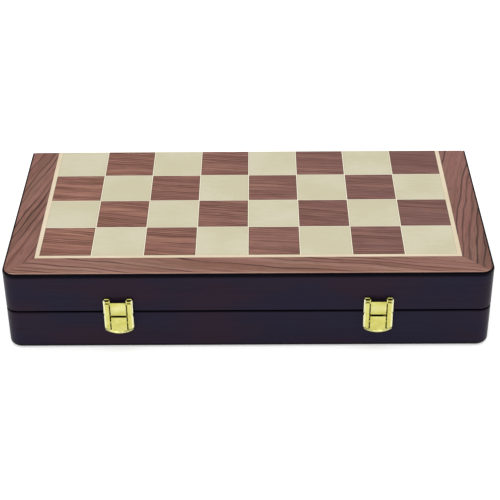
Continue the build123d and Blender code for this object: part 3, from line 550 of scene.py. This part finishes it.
def shade_by_angle(mesh):
    """Smooth shading, with sharp edges where faces meet at an angle."""
    mesh.shade_smooth()
    mesh.set_sharp_from_angle(angle=SHARP_ANGLE)


def dress(node, material):
    """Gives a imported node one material."""
    mesh = nodes[node].data
    mesh.materials.clear()
    mesh.materials.append(MATERIALS[material])
    shade_by_angle(mesh)


def soften(node, width):
    """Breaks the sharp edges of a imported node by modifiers, which leave its own mesh as it is."""
    piece = nodes[node]
    piece.modifiers.new("weld", "WELD").merge_threshold = MERGE_DISTANCE * MM
    planar = piece.modifiers.new("planar", "DECIMATE")
    planar.decimate_type = "DISSOLVE"
    planar.angle_limit = FLAT_ANGLE
    bevel = piece.modifiers.new("bevel", "BEVEL")
    bevel.width = width * MM
    bevel.segments = 2
    bevel.limit_method = "ANGLE"
    bevel.angle_limit = BEVEL_ANGLE
    bevel.harden_normals = True


def add_piece(name, mesh, material, body, slot, *replaced):
    """Links a finished mesh, in millimetres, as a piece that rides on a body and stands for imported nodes.

    The mesh is the piece's own and is scaled to metres here.
    """
    mesh.transform(Matrix.Scale(MM, 4))
    mesh.materials.append(MATERIALS[material])
    shade_by_angle(mesh)
    piece = bpy.data.objects.new(name, mesh)
    scene.collection.objects.link(piece)
    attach(piece, body)
    if replaced:
        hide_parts(*replaced)
    return piece


def mesh_of(form, name):
    """Mesh made from a bmesh, which is freed."""
    bmesh.ops.recalc_face_normals(form, faces=form.faces)
    mesh = bpy.data.meshes.new(name)
    form.to_mesh(mesh)
    form.free()
    return mesh


def joined(name, placed):
    """One mesh of (mesh, matrix) pairs; each pair's number is kept in an attribute for the materials."""
    form = bmesh.new()
    layer = form.verts.layers.float.new(MAN_NUMBER)
    for number, (mesh, matrix) in enumerate(placed, start=1):
        before = len(form.verts)
        form.from_mesh(mesh)
        form.verts.ensure_lookup_table()
        added = form.verts[before:]
        bmesh.ops.transform(form, matrix=matrix, verts=added)
        for vert in added:
            vert[layer] = number
    return mesh_of(form, name)


def arc_points(start, end, bulge):
    """Points from start to just before end on an arc whose bulge is its height over half its chord."""
    if not bulge:
        return [start]
    angle = 4 * atan(bulge)
    chord = end - start
    outward = Vector((chord.y, -chord.x)).normalized()
    radius = chord.length / (2 * sin(angle / 2))
    centre = (start + end) / 2 - outward * radius * cos(angle / 2)
    count = max(2, round(abs(angle) / ARC_STEP))
    points = []
    for number in range(count):
        turn = Matrix.Rotation(angle * number / count, 2)
        points.append(centre + turn @ (start - centre))
    return points


def lathe(profile, name, segments=TURN_SEGMENTS):
    """Closed turned form about Z. The profile's entries are (radius, height) or (radius, height, bulge)."""
    points = []
    for entry, following in zip(profile, profile[1:]):
        bulge = entry[2] if len(entry) > 2 else 0
        points += arc_points(Vector(entry[:2]), Vector(following[:2]), bulge)
    points.append(Vector(profile[-1][:2]))
    form = bmesh.new()
    rings = []
    for point in points:
        if point.x < 1e-6:
            rings.append([form.verts.new((0, 0, point.y))])
            continue
        ring = []
        for number in range(segments):
            angle = 2 * pi * number / segments
            ring.append(form.verts.new((point.x * cos(angle), point.x * sin(angle), point.y)))
        rings.append(ring)
    for low, high in zip(rings, rings[1:]):
        for number in range(segments):
            after = (number + 1) % segments
            corners = [low[number % len(low)], low[after % len(low)]]
            corners += [high[after % len(high)], high[number % len(high)]]
            corners = list(dict.fromkeys(corners))
            if len(corners) > 2:
                form.faces.new(corners)
    return mesh_of(form, name)


def box_mesh(size, matrix):
    """Box of that size about the origin of the matrix."""
    form = bmesh.new()
    bmesh.ops.create_cube(form, size=1, matrix=matrix @ Matrix.Diagonal((*size, 1)))
    return mesh_of(form, "box")


def applied(piece):
    """Mesh of an object with its modifiers applied."""
    return bpy.data.meshes.new_from_object(piece.evaluated_get(bpy.context.evaluated_depsgraph_get()))


def cut_by(mesh, tool):
    """The mesh less the form of the tool's mesh."""
    first = bpy.data.objects.new("first", mesh)
    second = bpy.data.objects.new("second", tool)
    for piece in (first, second):
        scene.collection.objects.link(piece)
    boolean = first.modifiers.new("boolean", "BOOLEAN")
    boolean.operation = "DIFFERENCE"
    boolean.solver = "EXACT"
    boolean.object = second
    made = applied(first)
    for piece in (first, second):
        bpy.data.objects.remove(piece)
    return made


def lying(column, row, base_radius):
    """Place of a man on its side in the base's insert, foot to the wall of its row."""
    place = ((column - 3.5) * FILE_PITCH, row * FOOT_Y, DEEP_FLOOR + base_radius)
    return Matrix.Translation(place) @ Matrix.Rotation(row * pi / 2, 4, "X")


def foot_rim(base):
    """Profile of the rim and bead of a man's foot."""
    return [
        (0, FELT),
        (base - 0.4, FELT, 0.4),
        (base, FELT + 0.4),
        (base, 2.2, 0.4),
        (base - 0.4, 2.6),
        (base - 1.0, 2.6),
        (base - 1.0, 2.7, 0.8),
        (base - 1.1, FOOT_HEIGHT),
    ]


def foot(base, stem):
    """Profile of a man's foot: rim, hollow flare, and the bead at the start of the stem."""
    return foot_rim(base) + [
        (base - 1.7, FOOT_HEIGHT + 0.1, -0.3),
        (stem + 1.0, 9.0),
        (stem + 0.5, 9.2, 0.9),
        (stem + 0.5, 10.3),
        (stem, 10.5, -0.05),
    ]


def collar(neck, rim, height):
    """Profile of a ring and, from that height up, a thin disc collar with a round rim."""
    return [
        (neck, height - 1.8),
        (neck + 0.3, height - 1.5, 0.9),
        (neck + 0.3, height - 0.7),
        (neck + 0.15, height - 0.6, -0.3),
        (rim - 0.35, height + 0.45, 1.0),
        (rim - 0.35, height + 1.15, -0.2),
        (neck + 0.1, height + 1.6),
    ]


def ball(neck, centre, radius):
    """Profile of a ball from where it meets its neck up to its top."""
    low = -sqrt(radius**2 - neck**2)
    swept = pi / 2 + atan(-low / neck)
    return [(neck, centre + low, tan(swept / 4)), (0, centre + radius)]


def pawn():
    """Ball on a collar."""
    return lathe(foot(FOOT_RADII["pawns"], 4.3) + collar(3.1, 5.3, 26.0) + ball(3.1, 31.8, 5.2), "pawn")


def rook():
    """Tower with a lined battlement, a well and four slots."""
    head = [
        (5.8, 32.1, -0.3),
        (7.0, 33.8),
        (7.4, 34.2),
        (7.4, 35.6),
        (7.15, 35.8),
        (7.15, 36.1),
        (7.4, 36.3),
        (7.4, 40.7, 0.4),
        (7.1, 41.0),
        (5.2, 41.0),
        (4.9, 40.7),
        (4.9, 38.0),
        (0, 38.2),
    ]
    tower = lathe(foot(FOOT_RADII["rooks"], 6.8) + collar(5.6, 7.4, 30.4) + head, "rook")
    for turn in (0, pi / 2):
        slot = box_mesh((20, 2.4, 8), Matrix.Translation((0, 0, 42.1)) @ Matrix.Rotation(turn, 4, "Z"))
        tower = cut_by(tower, slot)
    return tower


def bishop():
    """Mitre with a slanting slot and a small ball on its tip."""
    radius, height = 4.42, 44.27
    mitre = [(3.3, 36.9, 0.4), (radius, height, 0.05)]
    stand = foot(FOOT_RADII["bishops"], 4.5) + collar(3.3, 6.2, 35.2)
    form = lathe(stand + mitre + ball(1.1, 50.3, 1.7), "bishop")
    place = Matrix.Translation((-radius, 0, height)) @ Matrix.Rotation(radians(50), 4, "Y")
    return cut_by(form, box_mesh((radius, 16, 1.1), place))


def queen():
    """Coronet with eight notches round a low dome, and a small ball on it."""
    rim = 6.9
    crown = [
        (3.9, 43.5, 0.8),
        (3.9, 44.3),
        (3.8, 44.5, -0.14),
        (rim, 53.2),
        (rim, 53.5, 0.4),
        (6.65, 53.75),
        (5.4, 53.75),
        (5.2, 53.6, 0.14),
    ]
    stand = foot(FOOT_RADII["queen"], 4.9) + collar(3.7, 6.8, 41.6)
    form = lathe(stand + crown + ball(1.3, 56.3, 1.7), "queen")
    notch = lathe([(0, 49.0), (1.2, 49.0), (1.2, 56.1), (0, 56.1)], "notch", 24)
    # Each notch is turned a little off the crown's own edges, so that no cut leaves a sliver
    outward = Matrix.Translation((rim, 0, 0))
    placed = []
    for number in range(NOTCHES):
        turn = Matrix.Rotation((number + 0.04) * 2 * pi / NOTCHES, 4, "Z")
        placed.append((notch, turn @ outward))
    return cut_by(form, joined("notches", placed))


def cross_mesh(thickness):
    """The king's flat cross, with all its edges rounded."""
    half_outline = [(1.3, 55.9), (0.7, 60.05), (3.0, 59.45), (3.0, 62.05), (0.7, 61.45), (1.3, 64.0)]
    outline = half_outline + [(-x, z) for x, z in reversed(half_outline)]
    form = bmesh.new()
    face = form.faces.new([form.verts.new((x, -thickness / 2, z)) for x, z in outline])
    made = bmesh.ops.extrude_face_region(form, geom=[face])
    moved = [part for part in made["geom"] if isinstance(part, bmesh.types.BMVert)]
    bmesh.ops.translate(form, vec=(0, thickness, 0), verts=moved)
    bmesh.ops.bevel(form, geom=form.edges[:], offset=0.2, segments=2, profile=0.5, affect="EDGES")
    return mesh_of(form, "cross")


def king():
    """Plain flared crown with a flat cross whose arms widen outwards."""
    crown = [
        (4.2, 44.0, 0.8),
        (4.2, 44.8),
        (4.1, 45.0, -0.12),
        (6.9, 54.2),
        (6.9, 54.5, 0.4),
        (6.65, 54.8),
        (5.4, 54.8),
        (5.2, 54.65, 0.12),
        (1.4, 56.2),
        (0, 56.4),
    ]
    stand = foot(FOOT_RADII["king"], 5.2) + collar(4.0, 7.2, 42.2)
    return joined("king", [(lathe(stand + crown, "king"), Matrix()), (cross_mesh(thickness=2), Matrix())])


# Knight's head in side view: X back from the face, Z up, millimetres
KNIGHT_BASE = FOOT_RADII["knights"]
KNIGHT_SEAT = 9.0
CARVING_GRAIN = 0.34
SMOOTH_PASSES = 9
LOCK_LENGTH = 3.1
MANE = [(0.4, 43.4), (4.6, 39.8), (7.2, 33.4), (8.5, 27.5), (8.4, 22.3), (7.9, 15.0), (6.6, 9.0)]
MOUTH = [(-10.4, 27.6), (-8.6, 28.1), (-6.9, 29.0)]
FACE_RIDGE = [(-4.2, 34.6), (-7.9, 31.9)]
JUGULAR = [(-1.2, 26.6), (0.8, 21.0), (-1.4, 12.0)]
INNER_EAR = [(-0.9, 45.0), (-1.3, 42.6)]
EYE = (-2.9, 37.4)
NOSTRIL = (-9.0, 30.3)
CHEEK = (-2.3, 31.4)


def fade(distance, near, far):
    """1 up to near, 0 from far on, smooth between."""
    share = np.clip((far - distance) / (far - near), 0, 1)
    return share * share * (3 - 2 * share)


def along_line(points, line):
    """Distance of each point to a polyline, and the length along the line at the nearest place."""
    nearest = np.full(len(points), 1e9)
    length = np.zeros(len(points))
    walked = 0.0
    for start, end in zip(line, line[1:]):
        start, run = np.array(start), np.array(end) - np.array(start)
        reach = np.linalg.norm(run)
        share = np.clip((points - start) @ run / reach**2, 0, 1)
        distance = np.linalg.norm(points - start - share[:, None] * run, axis=1)
        closer = distance < nearest
        nearest[closer] = distance[closer]
        length[closer] = walked + share[closer] * reach
        walked += reach
    return nearest, length


def knight_block():
    """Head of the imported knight, cut off just above its seat and rounded all over by a fine remesh."""
    form = bmesh.new()
    form.from_mesh(nodes["white_knights"].data)
    upright = lying(1, 1, KNIGHT_BASE).inverted() @ Matrix.Scale(1 / MM, 4)
    bmesh.ops.transform(form, matrix=upright, verts=form.verts)
    other = [vert for vert in form.verts if abs(vert.co.x) > 2 * KNIGHT_BASE]
    bmesh.ops.delete(form, geom=other, context="VERTS")
    bmesh.ops.remove_doubles(form, verts=form.verts, dist=MERGE_DISTANCE)
    cut = bmesh.ops.bisect_plane(
        form,
        geom=form.verts[:] + form.edges[:] + form.faces[:],
        plane_co=(0, 0, KNIGHT_SEAT + 0.05),
        plane_no=(0, 0, 1),
        clear_inner=True,
    )
    cut_edges = [part for part in cut["geom_cut"] if isinstance(part, bmesh.types.BMEdge)]
    bmesh.ops.contextual_create(form, geom=cut_edges)
    block = bpy.data.objects.new("block", mesh_of(form, "block"))
    scene.collection.objects.link(block)
    remesh = block.modifiers.new("remesh", "REMESH")
    remesh.mode = "VOXEL"
    remesh.voxel_size = CARVING_GRAIN
    smooth = block.modifiers.new("smooth", "SMOOTH")
    smooth.factor = 0.5
    smooth.iterations = SMOOTH_PASSES
    head = applied(block)
    bpy.data.objects.remove(block)
    return head


def carving(places, normals):
    """Height of the knight's relief at each place: mane, eye, nostril, cheek, face ridge, ear and mouth."""
    side_view = places[:, [0, 2]]
    to_side = np.abs(normals[:, 1]) ** 0.5

    def round_spot(centre):
        return np.linalg.norm(side_view - np.array(centre), axis=1)

    def from_line(line):
        return along_line(side_view, line)[0]

    mane, mane_length = along_line(side_view, MANE)
    locks = 0.5 + 0.5 * np.sin(2 * pi * mane_length / LOCK_LENGTH + 0.9 * mane)
    height = fade(mane, 3.0, 3.7) * (0.3 + 0.42 * locks)
    height -= 0.25 * fade(np.abs(mane - 3.9), 0.0, 0.5) * to_side
    eye = round_spot(EYE)
    flank = -0.4 * fade(eye, 0.6, 1.9) + 0.8 * fade(eye, 0.2, 1.05)
    flank += 0.3 * fade(np.abs(eye - 1.5), 0.0, 0.5) * (side_view[:, 1] > EYE[1])
    nostril = round_spot(NOSTRIL)
    flank += 0.25 * fade(np.abs(nostril - 1.1), 0.0, 0.5) - 0.6 * fade(nostril, 0.0, 0.85)
    flank += 0.5 * fade(round_spot(CHEEK), 3.0, 4.1)
    flank += 0.25 * fade(from_line(FACE_RIDGE), 0.1, 1.0)
    flank -= 0.3 * fade(from_line(JUGULAR), 0.1, 1.2)
    flank -= 0.35 * fade(from_line(INNER_EAR), 0.0, 0.7)
    height += flank * to_side
    height -= 0.5 * fade(from_line(MOUTH), 0.05, 0.5)
    return height * fade(KNIGHT_SEAT + 1.5 - places[:, 2], 0.0, 1.5)


def knight():
    """Horse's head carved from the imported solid, on a turned pedestal."""
    head = knight_block()
    places = np.empty(3 * len(head.vertices))
    normals = np.empty(3 * len(head.vertices))
    head.vertices.foreach_get("co", places)
    head.vertices.foreach_get("normal", normals)
    places, normals = places.reshape(-1, 3), normals.reshape(-1, 3)
    places += normals * carving(places, normals)[:, None]
    head.vertices.foreach_set("co", places.ravel())

    pedestal = foot_rim(KNIGHT_BASE) + [
        (8.9, 3.6, -0.25),
        (7.3, 7.2),
        (7.85, 7.8, 1.0),
        (7.85, 8.5),
        (7.3, KNIGHT_SEAT),
        (7.0, 9.1),
        (0, 9.3),
    ]
    return joined("knight", [(lathe(pedestal, "pedestal"), Matrix()), (head, Matrix())])


# The lid is the base turned over
LID_TURN = Matrix.Translation((0, 0, TOP)) @ Matrix.Rotation(pi, 4, "X")

# The men of one side: form, columns, and row
MEN = {
    "king": (king(), [4], 1),
    "queen": (queen(), [3], 1),
    "bishops": (bishop(), [2, 5], 1),
    "knights": (knight(), [1, 6], 1),
    "rooks": (rook(), [0, 7], 1),
    "pawns": (pawn(), range(8), -1),
}


def felt_disc(base):
    """Felt glued under a man's foot."""
    radius = base - 0.8
    profile = [(0, 0), (radius - 0.2, 0, 0.4), (radius, 0.2), (radius, FELT), (0, FELT)]
    return lathe(profile, "felt", FINE_TURN_SEGMENTS)


# Of each side: colour, body, slot and turn of its men
SIDES = (("white", "base", "boxwood", Matrix()), ("black", "lid", "walnut", LID_TURN))
for side, body, slot, turn in SIDES:
    felts = []
    for name, (form, columns, row) in MEN.items():
        base = FOOT_RADII[name]
        places = [turn @ lying(column, row, base) for column in columns]
        man_mesh = joined(f"{side}_{name}_turned", [(form, place) for place in places])
        add_piece(f"{side}_{name}_turned", man_mesh, side, body, slot, f"{side}_{name}")
        felts += [(felt_disc(base), place) for place in places]
    add_piece(f"{side}_felts", joined(f"{side}_felts", felts), "felt", body, "flocked_foam")


def foam_block():
    """The base's foam block with its cut-outs, all edges rounded."""
    form = bmesh.new()
    form.from_mesh(nodes["base_insert"].data)
    bmesh.ops.scale(form, vec=(1 / MM, 1 / MM, 1 / MM), verts=form.verts)
    bmesh.ops.remove_doubles(form, verts=form.verts, dist=MERGE_DISTANCE)
    bmesh.ops.dissolve_limit(form, angle_limit=FLAT_ANGLE, verts=form.verts, edges=form.edges)
    sharp = [edge for edge in form.edges if edge.calc_face_angle(0) > FOAM_EDGE_ANGLE]
    bmesh.ops.bevel(
        form,
        geom=sharp,
        offset=FOAM_EDGE_ROUND,
        segments=3,
        profile=0.5,
        affect="EDGES",
        clamp_overlap=True,
    )
    return mesh_of(form, "foam")


# Both inserts have the same form
for half, turn in (("base", Matrix()), ("lid", LID_TURN)):
    insert_mesh = foam_block()
    insert_mesh.transform(turn)
    piece = add_piece(f"{half}_foam_insert", insert_mesh, "foam", half, "flocked_foam", f"{half}_insert")


def hinge_screw():
    """Countersunk screw with its head up at the origin: thread, flush head and cross recess."""
    profile = [(0, -SCREW_LENGTH), (POINT_RADIUS, POINT_LENGTH - SCREW_LENGTH)]
    height = THREAD_START - SCREW_LENGTH
    while height < THREAD_END:
        profile += [(SCREW_SHANK_RADIUS - THREAD_DEPTH, height), (SCREW_SHANK_RADIUS, height + 0.3)]
        height += THREAD_PITCH
    head_depth = SCREW_HEAD_RADIUS - SCREW_SHANK_RADIUS
    profile += [(SCREW_SHANK_RADIUS - 0.1, -1.2), (SCREW_SHANK_RADIUS, -head_depth)]
    profile += [(SCREW_HEAD_RADIUS - 0.05, -0.05), (SCREW_HEAD_RADIUS - 0.12, -0.01), (0, -0.01)]
    screw = lathe(profile, "screw", FINE_TURN_SEGMENTS)
    for turn, depth in zip((RECESS_TURN, RECESS_TURN + pi / 2), RECESS_DEPTHS):
        slot = box_mesh((RECESS_SPAN, RECESS_WIDTH, 2 * depth), Matrix.Rotation(turn, 4, "Z"))
        screw = cut_by(screw, slot)
    return screw


def latch_nail():
    """Nail with a low domed head whose underside is at the origin."""
    profile = [
        (0, -NAIL_LENGTH),
        (NAIL_SHANK_RADIUS, NAIL_POINT_LENGTH - NAIL_LENGTH),
        (NAIL_SHANK_RADIUS, 0),
        (NAIL_HEAD_RADIUS - 0.05, 0),
        (NAIL_HEAD_RADIUS, 0.08, 0.2),
        (0, NAIL_HEAD_THICKNESS),
    ]
    return lathe(profile, "nail", FINE_TURN_SEGMENTS)


def add_fasteners(kind, half, form, middle, reach, depth, height, tilt, turns):
    """One half's four fasteners: a pair round each middle, that far to each side, each turned by itself."""
    placed = []
    for (side, end), turn in zip(product((-1, 1), repeat=2), turns):
        place = Matrix.Translation((side * middle + end * reach, depth, height))
        placed.append((form, place @ Matrix.Rotation(tilt, 4, "X") @ Matrix.Rotation(turn, 4, "Z")))
    holder, fastener = kind.split("_")
    name = f"{half}_{kind}"
    add_piece(name, joined(name, placed), "brass", half, "gilt_brass", f"{holder}_{half}_{fastener}")


SCREW = hinge_screw()
SCREW_TURNS = (0.7, 1.7, 2.7, 3.7)
for half, rim, tilt in (("base", -PARTING_GAP / 2, 0), ("lid", PARTING_GAP / 2, pi)):
    height = HALF_HEIGHT + rim
    add_fasteners("hinge_screws", half, SCREW, HINGE_X, SCREW_SPACING / 2, SCREW_Y, height, tilt, SCREW_TURNS)

NAIL = latch_nail()
NAIL_TURNS = (0, 0, 0, 0)
for half, from_parting in (("base", BASE_NAIL_HEIGHT), ("lid", LID_NAIL_HEIGHT)):
    face = FRONT_Y - LATCH_SHEET
    height = HALF_HEIGHT + from_parting
    add_fasteners("latch_nails", half, NAIL, LATCH_X, NAIL_X, face, height, pi / 2, NAIL_TURNS)

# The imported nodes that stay
for half in ("base", "lid"):
    for side in ("front", "back", "left", "right"):
        dress(f"{half}_{side}_wall", f"{half}_walls")
    for side in ("front", "left", "right"):
        dress(f"{half}_border_{side}", f"{side}_border")
    dress(f"{half}_dark_squares", "dark_squares")
    dress(f"{half}_light_squares", "light_squares")
    dress(f"{half}_stringing", "stringing")
    dress(f"{half}_board_panel", "panel")
for name in nodes:
    if name.startswith(("hinge_", "latch_")):
        dress(name, "brass")
        for word, width in EDGE_ROUNDS.items():
            if word in name:
                soften(name, width)


def area_light(name, place, target, size, power):
    """Soft white rectangular light that faces the target."""
    light = bpy.data.lights.new(name, "AREA")
    light.shape = "RECTANGLE"
    light.size, light.size_y = size
    light.energy = power
    made = bpy.data.objects.new(name, light)
    made.location = place
    made.rotation_euler = (Vector(target) - Vector(place)).to_track_quat("-Z", "Y").to_euler()
    scene.collection.objects.link(made)


area_light("overhead_light", place=(0.1, 0.1, 1.9), target=(0, 0, 0), size=(2.6, 2.2), power=29)
area_light("front_light", place=(-0.9, -2.0, 1.3), target=(0, -0.2, 0), size=(1.8, 1.2), power=15.5)

world = bpy.data.worlds.new("studio")
scene.world = world
world.use_nodes = True
background = world.node_tree.nodes["Background"]
background.inputs["Color"].default_value = (1.0, 1.0, 1.0, 1.0)
background.inputs["Strength"].default_value = 0.47


def floor_paint(name):
    """Plain white, with a little light of its own."""
    look = Shader(name)
    tone = look.noise(look.place, (0.003, 0.003, 0.003))
    colour = look.mix(tone, FLOOR_SHADE, FLOOR_PALE)
    look.surface.inputs["Emission Color"].default_value = (1.0, 1.0, 1.0, 1.0)
    look.surface.inputs["Emission Strength"].default_value = FLOOR_GLOW
    return look.finish(colour, 0.7, specular=0.2)


# Floor just below the case: half its side in metres, the gap in millimetres, and its look
FLOOR_REACH = 8
FLOOR_GAP = 0.2
FLOOR_GLOW = 0.4
FLOOR_SHADE = (0.93, 0.93, 0.93, 1)
FLOOR_PALE = (0.96, 0.96, 0.96, 1)

floor_form = bmesh.new()
bmesh.ops.create_grid(floor_form, x_segments=1, y_segments=1, size=FLOOR_REACH)
floor = bpy.data.objects.new("floor", mesh_of(floor_form, "floor"))
floor.location.z = -FLOOR_GAP * MM
scene.collection.objects.link(floor)
floor.data.materials.append(floor_paint("floor"))
